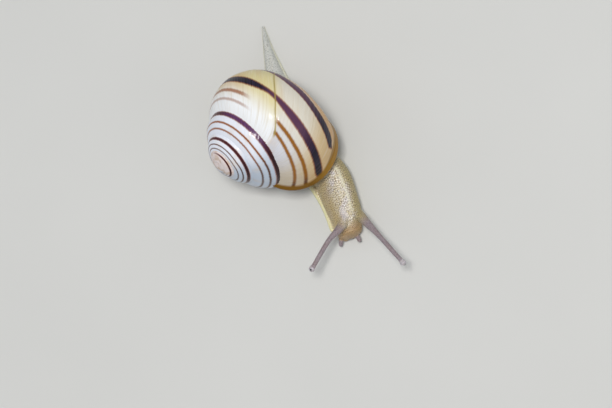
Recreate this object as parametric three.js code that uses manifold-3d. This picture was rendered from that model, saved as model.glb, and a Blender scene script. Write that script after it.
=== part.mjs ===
// Banded land snail, crawling, as a still life-size model. Millimetres, Z up, the head
// towards -Y, the snail's own left towards +X, the sole on z = 0. The frame's origin is on
// the floor under the middle of the model. The tables below are laid out from a point
// under the shell's apex, and every piece is moved to the frame's origin at the end.
import * as THREE from "three";
import { mergeVertices } from "three/addons/utils/BufferGeometryUtils.js";
import Module from "manifold-3d";

const wasm = await Module();
wasm.setup();
const { Manifold, Mesh } = wasm;

const vec = (x, y, z) => new THREE.Vector3(x, y, z);
const radians = THREE.MathUtils.degToRad;
const smooth = (from, to, x) => THREE.MathUtils.smoothstep(x, from, to);

// ---------------------------------------------------------------------- shell sizes
// A tube of oval section is wound about an axis. t counts whorls and is 0 at the lip,
// less inwards. s goes round the section: 0 is outwards, a quarter turn is to the apex.
const FIRST_WHORL = -5.3; // t where the spiral starts
const TUBE_OUT = 4.94; // section's centre from the axis, at the lip
const TUBE_WIDE = 6.74; // half width of the section, at the lip
const TUBE_TALL = 6.85; // half height of the section, at the lip
const TUBE_DROP = 11.93; // section's centre below the apex, at the lip
const DROP_POWER = 1.5; // the coil descends faster than it widens
const AXIS_CLEAR = 0.05; // the section stops short of the axis
const WALL = 0.55; // shell wall at the mouth
const CALLUS = 0.12; // layer over the inner side of the mouth
const LIP_FLARE = 0.5; // how far the lip turns outwards
const LIP_LENGTH = 0.03; // whorls over which it turns
const LIP_SLANT = 0.035; // whorls by which the lip runs ahead on its upper side
const LIP_SLANT_FROM = -0.14;
const MOUTH_DEPTH = 0.115; // whorls from the lip to the bottom of the mouth
const MOUTH_MEETS = -0.42; // whorls older than this bound the mouth
const PILLAR = { top: 0.2, foot: 0.4, from: 0.8, to: 13.6 }; // fills the coil's middle
const MOUTH_PILLAR = { radius: 0.85, from: 5, to: 21 }; // stays whole beside the mouth

const SECTION_POINTS = 30;
const LIP_STEP = 0.015; // whorls from section to section, near the lip and further in
const STEPS_PER_WHORL = [30, 24, 18];
const SECTIONS_PER_RUN = 8; // a stretch of tube is kept under half a whorl

// The shell leans back on the animal, its apex to the right and forwards.
const APEX_HEIGHT = 14.405;
const SHELL_TURN = new THREE.Matrix4()
  .makeTranslation(0, 0, APEX_HEIGHT)
  .multiply(new THREE.Matrix4().makeRotationZ(radians(-158.147)))
  .multiply(new THREE.Matrix4().makeRotationY(radians(59.336)))
  .multiply(new THREE.Matrix4().makeRotationZ(radians(85.713)));

// ---------------------------------------------------------------------- flesh sizes
const CUT = 0.12; // half the width of a cut between two named pieces of flesh
const FLESH_CLEAR = 0.25; // flesh from shell
const RIPPLE = 0.02; // unevenness finer than this is smoothed away

// The foot, tail first: y, x of its centre, half width, height of its margin.
const FOOT = [
  [21.8, 12.15, 0.25, 0.3],
  [17.7, 11.65, 0.9, 0.55],
  [13.4, 11.3, 1.75, 0.75],
  [9.4, 10.8, 2.7, 0.85],
  [5.2, 10.4, 3.45, 0.9],
  [1.2, 10.8, 3.75, 0.9],
  [-2.8, 12.15, 3.6, 0.9],
  [-6.8, 13.25, 3.25, 0.9],
  [-10.8, 13.7, 2.9, 0.85],
  [-14.6, 13.6, 2.75, 0.8],
];
const FOOT_NOSE = 1.4; // length of its rounded front
const MARGIN_ROUND = 0.3; // rounding of the sole's edge

// The back above it: y, x of its centre, half width, height, lean of its ridge to the left.
const BACK = [
  [21.4, 12.15, 0.16, 0.45, 0],
  [17.7, 11.65, 0.68, 1.4, 0],
  [13.4, 11.3, 1.4, 2.35, 0],
  [9.4, 10.9, 2.2, 3.1, 0],
  [5.2, 10.75, 2.9, 3.9, 0.02],
  [1.2, 11.3, 3.2, 4.6, 0.08],
  [-2.8, 12.7, 3.1, 5.2, 0.2],
  [-6.8, 13.8, 3.05, 5.2, 0.32],
  [-10.8, 13.9, 2.95, 4.7, 0.34],
  [-14.2, 14.1, 2.7, 4.5, 0.3],
  [-16.5, 14.0, 2.25, 3.9, 0.24],
];
const BACK_NOSE = 1.2;
const BACK_BASE = 0.2; // the back starts inside the foot
const BACK_WAIST = 0.42; // share of its height where it is widest
const BACK_POINTS = 22;
const SECTIONS_PER_ROW = 3;

// Where the body is parted, by y.
const TAIL_CUT = 9.5;
const NECK_CUT = -6.2;
const HEAD_CUT = -12.6;

// The stalk of flesh that goes up into the shell, and the mantle's collar round it.
const STALK_SHARE = 0.74; // of the mouth's width
const STALK_POINTS = 30;
const STALK_ROOT = { x: 12.3, y: -0.8, z: 2.8, long: 5.6, wide: 3.2 };
const STALK_SINK = { x: 12.3, y: -0.8, z: 0.6, long: 4.6, wide: 2.6 };
const COLLAR = [-0.1, -0.07, -0.04, -0.01]; // sections, from inside to just behind the lip
const PORE = { radius: 0.55, angle: 72, in: 1.8 }; // the breathing hole, on the right

// Two soft lips under the front of the head, with the mouth between them.
const MOUTH_LIP = { radius: 0.85, x: 13.6, y: -16.75, z: 1.0, apart: 0.62 };

// Feelers: points along the middle line, from inside the head to the tip.
const UPPER_FEELER = {
  right: [
    vec(14.7, -13.9, 3.4), vec(13.27, -15.76, 5.2), vec(11.0, -17.2, 6.35),
    vec(7.72, -20.1, 7.5), vec(6.7, -21.0, 7.75),
  ],
  left: [
    vec(16.3, -13.6, 3.3), vec(17.28, -15.5, 4.4), vec(18.98, -19.2, 5.9),
    vec(21.09, -24.3, 7.3), vec(21.6, -25.6, 7.6),
  ],
};
const LOWER_FEELER = {
  right: [vec(12.9, -15.9, 1.8), vec(12.2, -17.1, 1.5), vec(11.7, -18.0, 1.2)],
  left: [vec(14.8, -16.0, 1.9), vec(14.98, -17.5, 1.55), vec(15.05, -18.5, 1.2)],
};
const UPPER_FEELER_THICK = { root: 0.9, thin: 0.36, bulb: 0.52 };
const LOWER_FEELER_THICK = { root: 0.44, tip: 0.34 };
const BULB_SWELL = 0.42; // length over which the bulb swells from the stalk
const BULB_CUT = 1.25; // the bulb is parted this far from the tip

// An eye is a bead let into its bulb. The rise is how far up it looks, per step ahead.
const EYE = { radius: 0.24, sunk: 0.2, clear: 0.06, rise: { right: 3.2, left: -0.7 } };

// -------------------------------------------------------------------------- solids
// A closed solid from a three.js geometry.
function solid(geometry) {
  const bare = geometry.clone();
  bare.deleteAttribute("normal");
  bare.deleteAttribute("uv");
  const merged = mergeVertices(bare, 1e-4);
  const mesh = new Mesh({
    numProp: 3,
    vertProperties: new Float32Array(merged.attributes.position.array),
    triVerts: new Uint32Array(merged.index.array),
  });
  return new Manifold(mesh);
}

// A closed body through rings of equally many points, with a fan at each end.
function loft(rings) {
  const count = rings[0].length;
  const points = rings.flat();
  const faces = [];
  const next = (j) => (j + 1) % count;
  for (let start = 0; start < count * (rings.length - 1); start += count) {
    for (let j = 0; j < count; j++) {
      const [a, b] = [start + j, start + next(j)];
      faces.push([a, b, b + count], [a, b + count, a + count]);
    }
  }
  for (const [ring, start, first] of [[rings[0], 0, true], [rings.at(-1), points.length - count, false]]) {
    const middle = ring.reduce((sum, p) => sum.add(p), vec(0, 0, 0)).divideScalar(count);
    const hub = points.push(middle) - 1;
    for (let j = 0; j < count; j++) {
      const [a, b] = [start + j, start + next(j)];
      faces.push(first ? [hub, b, a] : [hub, a, b]);
    }
  }
  const geometry = new THREE.BufferGeometry().setFromPoints(points);
  const made = solid(geometry.setIndex(faces.flat()));
  if (made.volume() > 0) return made;
  return solid(geometry.setIndex(faces.map(([a, b, c]) => [a, c, b]).flat()));
}

// The main body of a solid, without the slivers that a cut can leave.
function mainBody(piece) {
  return piece.simplify(RIPPLE).decompose().sort((a, b) => b.volume() - a.volume())[0];
}

// --------------------------------------------------------------------------- shell
// Size of the coil at t against its size at the lip. Growth slows towards the lip.
const growth = (t) => Math.exp(0.2491 * t - 0.0577 * t * t);

function shellPoint(t, s, offset) {
  const slant = LIP_SLANT * smooth(LIP_SLANT_FROM, -0.02, t);
  const turn = -2 * Math.PI * (t + slant * Math.sin(s));
  const g = growth(t);
  const r = Math.max(AXIS_CLEAR, TUBE_OUT * g + (TUBE_WIDE * g + offset) * Math.cos(s));
  const z = -TUBE_DROP * g ** DROP_POWER + (TUBE_TALL * g + offset) * Math.sin(s);
  return vec(r * Math.cos(turn), r * Math.sin(turn), z).applyMatrix4(SHELL_TURN);
}

// The section at t, wider than the shell by the offset and then scaled by the share.
function shellRing(t, offset, share = 1, count = SECTION_POINTS) {
  const inset = (share - 1) * TUBE_WIDE * growth(t);
  const angles = Array.from({ length: count }, (_, i) => (2 * Math.PI * i) / count);
  return angles.map((s) => shellPoint(t, s, offset + inset));
}

// A stretch of the coiled tube, wider or narrower than the shell by the offset.
function tube(from, to, offsetAt) {
  const steps = [from];
  while (steps.at(-1) < to - 1e-6) {
    const t = steps.at(-1);
    const perWhorl = STEPS_PER_WHORL[Math.min(2, Math.max(0, Math.floor(-t)))];
    steps.push(Math.min(to, t + (t > -3 * LIP_STEP ? LIP_STEP : 1 / perWhorl)));
  }
  const rings = steps.map((t) => shellRing(t, offsetAt(t)));
  const runs = [];
  for (let i = 0; i + 1 < rings.length; i += SECTIONS_PER_RUN) {
    runs.push(loft(rings.slice(i, i + SECTIONS_PER_RUN + 1)));
  }
  return Manifold.union(runs);
}

// A round bar on the shell's own axis, its ends measured down from the apex.
function axisBar(topRadius, footRadius, from, to) {
  const bar = new THREE.CylinderGeometry(topRadius, footRadius, to - from, 14);
  bar.rotateX(Math.PI / 2).translate(0, 0, -(from + to) / 2).applyMatrix4(SHELL_TURN);
  return solid(bar);
}

const lipFlare = (t) => LIP_FLARE * smooth(-LIP_LENGTH, -0.004, t);

// What bounds the mouth on its inner side: the older whorls and the pillar.
function innerSide(clear) {
  const radius = MOUTH_PILLAR.radius + clear;
  const bar = axisBar(radius, radius, MOUTH_PILLAR.from, MOUTH_PILLAR.to);
  return tube(FIRST_WHORL, MOUTH_MEETS, () => clear).add(bar);
}

function makeShell() {
  const pillar = axisBar(PILLAR.top, PILLAR.foot, PILLAR.from, PILLAR.to);
  const mouth = tube(-MOUTH_DEPTH, 0.03, () => -WALL).subtract(innerSide(CALLUS));
  return mainBody(tube(FIRST_WHORL, 0, lipFlare).add(pillar).subtract(mouth));
}

// The space that flesh keeps out of: the shell with a little air round it, less its mouth.
function shellRoom() {
  const mouth = tube(0.006 - MOUTH_DEPTH, 0.04, () => -WALL - FLESH_CLEAR);
  const outside = tube(FIRST_WHORL, 0.006, (t) => lipFlare(t) + FLESH_CLEAR);
  return outside.subtract(mouth.subtract(innerSide(FLESH_CLEAR)));
}

// --------------------------------------------------------------------------- flesh
// The values of a table between its rows, eased so that outlines stay round.
function between(table, place) {
  const row = Math.min(table.length - 2, Math.floor(place));
  const f = place - row;
  const at = (i) => table[Math.max(0, Math.min(table.length - 1, i))];
  return table[0].map((_, column) => {
    const [before, start, end, after] = [-1, 0, 1, 2].map((i) => at(row + i)[column]);
    const leave = (end - before) / 2;
    const arrive = (after - start) / 2;
    const bend = 2 * (start - end) + leave + arrive;
    const sag = 3 * (end - start) - 2 * leave - arrive;
    return start + f * (leave + f * (sag + f * bend));
  });
}

// Sections along a table, closed at the front by a rounded nose.
function bodyLoft(table, section, nose) {
  const last = table.length - 1;
  const rings = [];
  for (let i = 0; i <= last * SECTIONS_PER_ROW; i++) {
    rings.push(section(between(table, i / SECTIONS_PER_ROW), 1, 0));
  }
  for (const degrees of [25, 45, 62, 76, 87]) {
    const turn = radians(degrees);
    rings.push(section(table[last], Math.cos(turn), nose * Math.sin(turn)));
  }
  return loft(rings);
}

// The foot's section: a flat sole, a rounded margin and a low flat top.
function footSection([y, x, half, margin], shrink, ahead) {
  const wide = half * shrink;
  const soft = Math.min(MARGIN_ROUND, wide * 0.4);
  const high = margin * (0.45 + 0.55 * shrink);
  const rightSide = [
    [wide - soft, 0], [wide - 0.3 * soft, 0.18 * high], [wide, 0.45 * high],
    [wide - 0.25 * soft, 0.78 * high], [0.86 * wide, high],
  ];
  const leftSide = rightSide.map(([dx, z]) => [-dx, z]).reverse();
  return [...rightSide, ...leftSide].map(([dx, z]) => vec(x + dx, y - ahead, z));
}

// The back's section: an arch whose ridge leans to the left on the neck.
function backSection([y, x, half, height, lean], shrink, ahead) {
  const waist = height * BACK_WAIST;
  const ring = [];
  for (let i = 0; i < BACK_POINTS; i++) {
    const c = Math.cos((2 * Math.PI * i) / BACK_POINTS);
    const s = Math.sin((2 * Math.PI * i) / BACK_POINTS);
    const reach = s > 0 ? height - waist : waist - BACK_BASE;
    const z = waist + shrink * reach * s;
    const wide = half * shrink * Math.sign(c) * Math.abs(c) ** (s > 0 ? 0.92 : 0.6);
    ring.push(vec(x + wide + lean * (z - BACK_BASE), y - ahead, z));
  }
  return ring;
}

// The stalk runs from a ring in the mouth to an oval in the foot.
const stalkRing = (t, clear = 0) => shellRing(t, clear - WALL, STALK_SHARE, STALK_POINTS);

function stalkOval({ x, y, z, long, wide }) {
  const angles = Array.from({ length: STALK_POINTS }, (_, i) => (2 * Math.PI * i) / STALK_POINTS);
  return angles.map((s) => vec(x - wide * Math.sin(s), y - long * Math.cos(s), z));
}

function makeStalk() {
  const [upper, root] = [stalkRing(-0.01), stalkOval(STALK_ROOT)];
  const middle = [0.25, 0.5, 0.75].map((f) => upper.map((p, i) => p.clone().lerp(root[i], f)));
  return loft([stalkRing(-0.1), stalkRing(-0.05), upper, ...middle, root, stalkOval(STALK_SINK)]);
}

function mouthLip(side, grow) {
  const form = new THREE.SphereGeometry(MOUTH_LIP.radius + grow, 12, 8).scale(0.85, 0.9, 0.75);
  const { x, y, z, apart } = MOUTH_LIP;
  return solid(form.translate(x + side * apart, y, z));
}

// The head as a body to keep clear of, grown by a little.
function headRoom(grow) {
  const table = BACK.map(([y, x, half, height, lean]) => [y, x, half + grow, height + grow, lean]);
  const forms = [bodyLoft(table, backSection, BACK_NOSE), mouthLip(-1, grow), mouthLip(1, grow)];
  return Manifold.union(forms);
}

// The collar fills the mouth round the stalk and has the breathing pore on its right.
function makeCollar() {
  const fill = loft(COLLAR.map((t) => shellRing(t, -WALL - FLESH_CLEAR)));
  const stalkHole = loft([-0.12, -0.08, -0.04, 0, 0.03].map((t) => stalkRing(t, CUT)));
  const poreAt = shellPoint(COLLAR.at(-1), radians(PORE.angle), -PORE.in);
  const pore = solid(new THREE.SphereGeometry(PORE.radius, 12, 8).translate(...poreAt));
  return mainBody(fill.subtract(Manifold.union([innerSide(FLESH_CLEAR), stalkHole, pore])));
}

// A part of the body between two cuts across it.
function bodyPart(body, front, rear) {
  let part = body;
  if (front !== null) part = part.trimByPlane([0, 1, 0], front + CUT);
  if (rear !== null) part = part.trimByPlane([0, -1, 0], CUT - rear);
  return mainBody(part);
}

// ------------------------------------------------------------------------- feelers
// A tapering tube along a curve, its radius given by the distance from root and tip.
function feeler(points, radiusAt, sections, sides) {
  const curve = new THREE.CatmullRomCurve3(points);
  const length = curve.getLength();
  const frames = curve.computeFrenetFrames(sections, false);
  const rings = [];
  for (let i = 0; i <= sections; i++) {
    const centre = curve.getPointAt(i / sections);
    const radius = radiusAt(i / sections, length * (1 - i / sections));
    const ring = [];
    for (let j = 0; j < sides; j++) {
      const a = (2 * Math.PI * j) / sides;
      const spoke = frames.normals[i].clone().multiplyScalar(radius * Math.cos(a));
      spoke.addScaledVector(frames.binormals[i], radius * Math.sin(a));
      ring.push(spoke.add(centre));
    }
    rings.push(ring);
  }
  return loft(rings);
}

function upperRadius(share, fromTip) {
  const { root, thin, bulb } = UPPER_FEELER_THICK;
  const fromBulb = fromTip - bulb;
  if (fromBulb < 0) return Math.sqrt(Math.max(0.0004, bulb ** 2 - fromBulb ** 2));
  const taper = 0.8 * (1 - smooth(0, 0.55, share)) + 0.2 * (1 - share);
  const stalk = thin + (root - thin) * taper;
  return THREE.MathUtils.lerp(stalk, bulb, Math.exp(-((fromBulb / BULB_SWELL) ** 2)));
}

function lowerRadius(share, fromTip) {
  const { root, tip } = LOWER_FEELER_THICK;
  const radius = THREE.MathUtils.lerp(root, tip, share);
  const round = Math.max(0, 1 - fromTip / radius);
  return radius * Math.sqrt(Math.max(0.01, 1 - round ** 2));
}

// Where the last stretch of a feeler points.
const aimOf = (points) => points.at(-1).clone().sub(points.at(-2)).normalize();

function eyeCentre(points, rise) {
  const aim = aimOf(points);
  const bulb = points.at(-1).clone().addScaledVector(aim, -UPPER_FEELER_THICK.bulb);
  const look = vec(aim.x, aim.y, rise).normalize();
  return bulb.addScaledVector(look, UPPER_FEELER_THICK.bulb - EYE.sunk);
}

const bead = (centre, radius) => solid(new THREE.IcosahedronGeometry(radius, 1).translate(...centre));

// -------------------------------------------------------------------- named pieces
const pieces = new Map();
pieces.set("shell", makeShell());
pieces.set("mantle_collar", makeCollar());

const foot = bodyLoft(FOOT, footSection, FOOT_NOSE);
const body = Manifold.union([foot, headRoom(0), makeStalk()]).subtract(shellRoom());
pieces.set("tail", bodyPart(body, TAIL_CUT, null));
pieces.set("foot_middle", bodyPart(body, NECK_CUT, TAIL_CUT));
pieces.set("neck", bodyPart(body, HEAD_CUT, NECK_CUT));
pieces.set("head", bodyPart(body, null, HEAD_CUT));

const aroundHead = headRoom(2 * CUT);
for (const side of ["right", "left"]) {
  const points = UPPER_FEELER[side];
  const eye = eyeCentre(points, EYE.rise[side]);
  const whole = feeler(points, upperRadius, 24, 10).subtract(aroundHead);
  const aim = aimOf(points);
  const cutAt = aim.dot(points.at(-1)) - BULB_CUT;
  const stalk = whole.trimByPlane(aim.clone().negate().toArray(), CUT / 2 - cutAt);
  const bulb = whole.trimByPlane(aim.toArray(), cutAt + CUT / 2);
  pieces.set(`tentacle_upper_${side}`, mainBody(stalk));
  pieces.set(`tentacle_bulb_${side}`, mainBody(bulb.subtract(bead(eye, EYE.radius + EYE.clear))));
  pieces.set(`eye_${side}`, bead(eye, EYE.radius));
  const short = feeler(LOWER_FEELER[side], lowerRadius, 8, 8);
  pieces.set(`tentacle_lower_${side}`, mainBody(short.subtract(aroundHead)));
}

// --------------------------------------------------------------------------- group
const FINISHES = [
  [/^shell$/, "#e6dab0", 0.28],
  [/^eye/, "#17151a", 0.2],
  [/^tentacle/, "#a79fa4", 0.5],
  [/^mantle/, "#9c9078", 0.5],
  [/./, "#b5aa8b", 0.5],
];

function finishOf(name) {
  const [, color, roughness] = FINISHES.find(([pattern]) => pattern.test(name));
  return new THREE.MeshStandardMaterial({ color, roughness, metalness: 0 });
}

// The origin goes under the middle of the model's box.
const { min, max } = Manifold.union([...pieces.values()]).boundingBox();
const toOrigin = [-(min[0] + max[0]) / 2, -(min[1] + max[1]) / 2, 0];

const snail = new THREE.Group();
for (const [name, piece] of pieces) {
  const { vertProperties, triVerts } = piece.translate(toOrigin).getMesh();
  const geometry = new THREE.BufferGeometry();
  geometry.setAttribute("position", new THREE.BufferAttribute(vertProperties, 3));
  geometry.setIndex(new THREE.BufferAttribute(triVerts, 1));
  geometry.computeVertexNormals();
  const mesh = new THREE.Mesh(geometry, finishOf(name));
  mesh.name = name;
  snail.add(mesh);
}

export default snail;
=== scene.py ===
"""A banded land snail, crawling: its shell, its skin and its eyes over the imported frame.

Shapes are worked out in millimetres from the point on the floor under the shell's apex,
with Z up and the head towards -Y, and are put in the frame, in metres, when finished.
"""
import math
import random

import bmesh
import bpy
import numpy as np
from mathutils import Matrix, Vector, kdtree


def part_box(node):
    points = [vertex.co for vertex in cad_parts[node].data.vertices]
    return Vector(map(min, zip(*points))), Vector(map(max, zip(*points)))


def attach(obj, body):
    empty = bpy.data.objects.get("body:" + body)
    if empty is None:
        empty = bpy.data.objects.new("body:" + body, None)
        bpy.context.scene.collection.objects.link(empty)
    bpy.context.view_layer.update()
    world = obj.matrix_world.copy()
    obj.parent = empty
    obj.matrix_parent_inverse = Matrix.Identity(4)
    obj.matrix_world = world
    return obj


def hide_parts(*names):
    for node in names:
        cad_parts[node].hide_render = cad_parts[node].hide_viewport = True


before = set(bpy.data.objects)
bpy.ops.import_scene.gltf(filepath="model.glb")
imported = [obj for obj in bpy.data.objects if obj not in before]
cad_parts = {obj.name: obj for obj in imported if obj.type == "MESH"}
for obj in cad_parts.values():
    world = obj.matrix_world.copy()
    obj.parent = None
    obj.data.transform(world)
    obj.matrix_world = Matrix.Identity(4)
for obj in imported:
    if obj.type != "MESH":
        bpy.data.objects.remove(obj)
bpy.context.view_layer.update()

MM = 0.001
APEX_PLACE = Vector((-10.2137, 1.9045, 0.0))  # millimetres, in the frame

# ---------- shell sizes
# A tube of oval section is wound about an axis. Age counts whorls, 0 at the lip and less
# inwards. Around goes round the section: 0 outwards, a quarter turn towards the apex.
FIRST_WHORL = -5.3
TUBE_OUT = 4.94
TUBE_WIDE = 6.74
TUBE_TALL = 6.85
TUBE_DROP = 11.93
DROP_POWER = 1.5
GROWTH = (0.2491, -0.0577)
AXIS_CLEAR = 0.05  # least distance from the axis
APEX_HEIGHT = 14.405
SHELL_TURN = (
    Matrix.Translation((0, 0, APEX_HEIGHT))
    @ Matrix.Rotation(math.radians(-158.147), 4, "Z")
    @ Matrix.Rotation(math.radians(59.336), 4, "Y")
    @ Matrix.Rotation(math.radians(85.713), 4, "Z")
)
SHOWN_ARC = (-142, 78)  # degrees of the section that the next whorl leaves bare
SHOWN_STEP = 1.9
HIDDEN_STEP = 5.5
WALL = 0.55
LIP_WALL = 0.12
LIP_FLARE = 0.5
LIP_LENGTH = 0.03
LIP_ROUND = 0.16
LIP_SLANT = 0.035  # whorls by which the lip runs ahead on its upper side
LINE_SLANT = 0.105  # whorls by which an older growth line runs ahead on its upper side
LINE_TURNS = 0.27  # whorls over which growth lines turn to the lip's slant
MOUTH_DEPTH = 0.115  # whorls
REST_LINE = -0.275  # age of the line where growth stopped for a winter
PILLAR = dict(radius=0.4, start=0.8, end=13.6)  # shell wound solid along the axis
MOUTH_PILLAR = dict(radius=0.85, start=5, end=21)  # and wider, inside the mouth
OLDER_WHORL = (-1.35, -0.7)  # ages of the whorl that bounds the mouth inside
CALLUS = 0.1  # shell laid over that whorl
RIB_SPACING = 0.83
RIB_HEIGHT = 0.014
REST_GROOVE = dict(deep=0.05, wide=0.004)  # wide in whorls
FINE_RIBS = 0.31  # spacing of the finer ribs, which are left to the material
RUN = 0.5  # whorls in one run of tube
ROWS_PER_WHORL = (360, 300, 220, 150, 110)
LIP_ROWS = 700
COARSE = 0.45  # fineness of the shapes that only cut or hide in others
NOWHERE = 100.0  # offset given for a whorl that isn't there

# ---------- skin sizes
# The foot, tail first: y, x of its centre, half width, height of its margin.
FOOT = [
    (21.8, 12.15, 0.25, 0.3),
    (17.7, 11.65, 0.9, 0.55),
    (13.4, 11.3, 1.75, 0.75),
    (9.4, 10.8, 2.7, 0.85),
    (5.2, 10.4, 3.45, 0.9),
    (1.2, 10.8, 3.75, 0.9),
    (-2.8, 12.15, 3.6, 0.9),
    (-6.8, 13.25, 3.25, 0.9),
    (-10.8, 13.7, 2.9, 0.85),
    (-14.6, 13.6, 2.75, 0.8),
]
FOOT_NOSE = 1.4

# The back: y, x of its centre, half width, height, lean of its ridge to the left.
BACK = [
    (21.4, 12.15, 0.16, 0.45, 0),
    (17.7, 11.65, 0.68, 1.4, 0),
    (13.4, 11.3, 1.4, 2.35, 0),
    (9.4, 10.9, 2.2, 3.1, 0),
    (5.2, 10.75, 2.9, 3.9, 0.02),
    (1.2, 11.3, 3.2, 4.6, 0.08),
    (-2.8, 12.7, 3.1, 5.2, 0.2),
    (-6.8, 13.8, 3.05, 5.2, 0.32),
    (-10.8, 13.9, 2.95, 4.7, 0.34),
    (-14.2, 14.0, 2.62, 4.5, 0.28),
    (-16.5, 13.8, 2.08, 3.9, 0.2),
]
BACK_NOSE = 1.0
BACK_BASE = 0.2
BACK_WAIST = 0.42  # where it is widest, as a share of its height
BODY_ROWS = 90
MARGIN_STEPS = 12
ARCH_SIDES = 48

# The flesh that goes up into the shell, and the mantle's collar round it in the mouth.
RING = 72  # points round it
STALK_SHARE = 0.74  # of the mouth's width
STALK_ROOT = dict(x=12.3, y=-0.8, z=2.8, long=5.6, wide=3.2)
STALK_SINK = dict(x=12.3, y=-0.8, z=0.6, long=4.6, wide=2.6)
STALK_AGES = (-0.055, -0.035, -0.01)
COLLAR = (-0.05, -0.012)
COLLAR_GAP = 0.12
COLLAR_CLEAR = 0.05
PORE = dict(radius=0.6, angle=72, deep=1.8)
MOUTH_LIP = dict(radius=0.85, x=13.6, y=-16.75, z=1.0, apart=0.62)

UPPER_FEELERS = {
    "right": [(14.7, -13.9, 3.4), (13.27, -15.76, 5.2), (11.0, -17.2, 6.35),
              (7.72, -20.1, 7.5), (6.7, -21.0, 7.75)],
    "left": [(16.3, -13.6, 3.3), (17.28, -15.5, 4.4), (18.98, -19.2, 5.9),
             (21.09, -24.3, 7.3), (21.6, -25.6, 7.6)],
}
LOWER_FEELERS = {
    "right": [(12.9, -15.9, 1.8), (12.2, -17.1, 1.5), (11.7, -18.0, 1.2)],
    "left": [(14.8, -16.0, 1.9), (14.98, -17.5, 1.55), (15.05, -18.5, 1.2)],
}
FEELER_ROWS = 60
FEELER_SIDES = 28
UPPER_THICK = dict(root=0.9, thin=0.36, bulb=0.52)
LOWER_THICK = dict(root=0.44, tip=0.34)
BULB_SWELL = 0.42
EYE_RADIUS = 0.24
EYE_BACK = dict(from_side=-0.86, deeper=0.02, narrower=0.7)  # the eye's plain back

SKIN_VOXEL = 0.088  # spacing of the skin's mesh
HIDDEN_SHARE = 0.05  # of the faces, kept where the skin is out of sight
PLAIN_SHARE = 0.34  # kept where its grain is left to the material
FLESH_ROOM = 0.1  # between the flesh and the shell
SOLE_TOP = 0.03
IN_MOUTH = dict(above=7.3, behind=-9)  # height and y past which flesh is out of sight
PLAIN_TAIL = 9.5  # y behind which the grain is left to the material
PLAIN_FRONT = -18.0  # and ahead of which
BEHIND_NECK = -3.5  # y from where the tubercles are larger
TUBERCLE = 0.21  # least spacing of the tubercles on the neck
TUBERCLE_LONG = 1.6  # how much longer than wide they are
TUBERCLE_HEIGHT = 0.07
MOUTH_X = 13.75
MOUTH_TOP = 1.25
MOUTH_DEEP = 0.14
# The bluish patch is partly the skin's own tint and partly a painted highlight on the head's top.
ROOT_TINT = (14.6, -13.7, 4.6)  # middle of the bluish patch behind the right feeler
LINE_ACROSS = 0.33  # where the pale line runs along the neck, in half widths to the left
SEED = 11

EYE_LOOK = {"right": (-0.74, -0.65, 3.2), "left": (0.36, -0.91, -0.7)}

# ---------- camera and light
CAMERA_PLACE = (75.668, -74.998, 374.292)
CAMERA_WAY = (-0.174, 0.171, -0.970)
CAMERA_UP = (0.369, 0.924, 0.097)
CAMERA_LENS = 136.8
FLOOR_SIZE = 3.0  # metres, as in the lights' distances and sizes
LIT_POINT = (4, 0, 8)
LIGHTS = {  # direction, distance, size, power, colour
    "key light": ((0.1, -0.06, 0.98), 0.6, 0.13, 2.5, (1.0, 0.985, 0.96)),
    "side light": ((1.0, -0.6, 0.6), 0.7, 0.3, 0.3, (1.0, 0.97, 0.93)),
    "back light": ((-1.0, 0.7, 0.6), 0.7, 0.3, 0.3, (0.95, 0.97, 1.0)),
}
SKY_COLOUR = (0.9, 0.94, 1.0, 1.0)
SKY_STRENGTH = 0.4


# ---------- small helpers
def smooth(low, high, x):
    share = np.clip((np.asarray(x, float) - low) / (high - low), 0, 1)
    return share * share * (3 - 2 * share)


def only(piece):
    """Leaves one object selected and active, in object mode."""
    if bpy.context.mode != "OBJECT":
        bpy.ops.object.mode_set(mode="OBJECT")
    bpy.ops.object.select_all(action="DESELECT")
    piece.select_set(True)
    bpy.context.view_layer.objects.active = piece


def edit(piece, select="SELECT", mode="VERT"):
    only(piece)
    bpy.ops.object.mode_set(mode="EDIT")
    bpy.ops.mesh.select_mode(type=mode)
    bpy.ops.mesh.select_all(action=select)


def done():
    bpy.ops.object.mode_set(mode="OBJECT")


def apply_modifier(piece, kind, **settings):
    only(piece)
    modifier = piece.modifiers.new(kind.title(), kind)
    for name, value in settings.items():
        setattr(modifier, name, value)
    bpy.ops.object.modifier_apply(modifier=modifier.name)


def combine(piece, other, operation="UNION"):
    """Joins a closed piece with another one, which is used up, or cuts it by it."""
    apply_modifier(piece, "BOOLEAN", operation=operation, object=other, solver="MANIFOLD")
    bpy.data.objects.remove(other)
    return piece


def join(pieces):
    only(pieces[0])
    for piece in pieces[1:]:
        piece.select_set(True)
    bpy.ops.object.join()
    return pieces[0]


def read(items, name, kind=float, per=1):
    """One property of all of a mesh's items, as an array."""
    values = np.empty(len(items) * per, kind)
    items.foreach_get(name, values)
    return values if per == 1 else values.reshape(-1, per)


def full_turn(count):
    return np.linspace(0, 2 * np.pi, count, endpoint=False)


def set_points(mesh, points):
    mesh.vertices.foreach_set("co", np.ascontiguousarray(points, dtype=np.float32).ravel())
    mesh.update()


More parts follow.
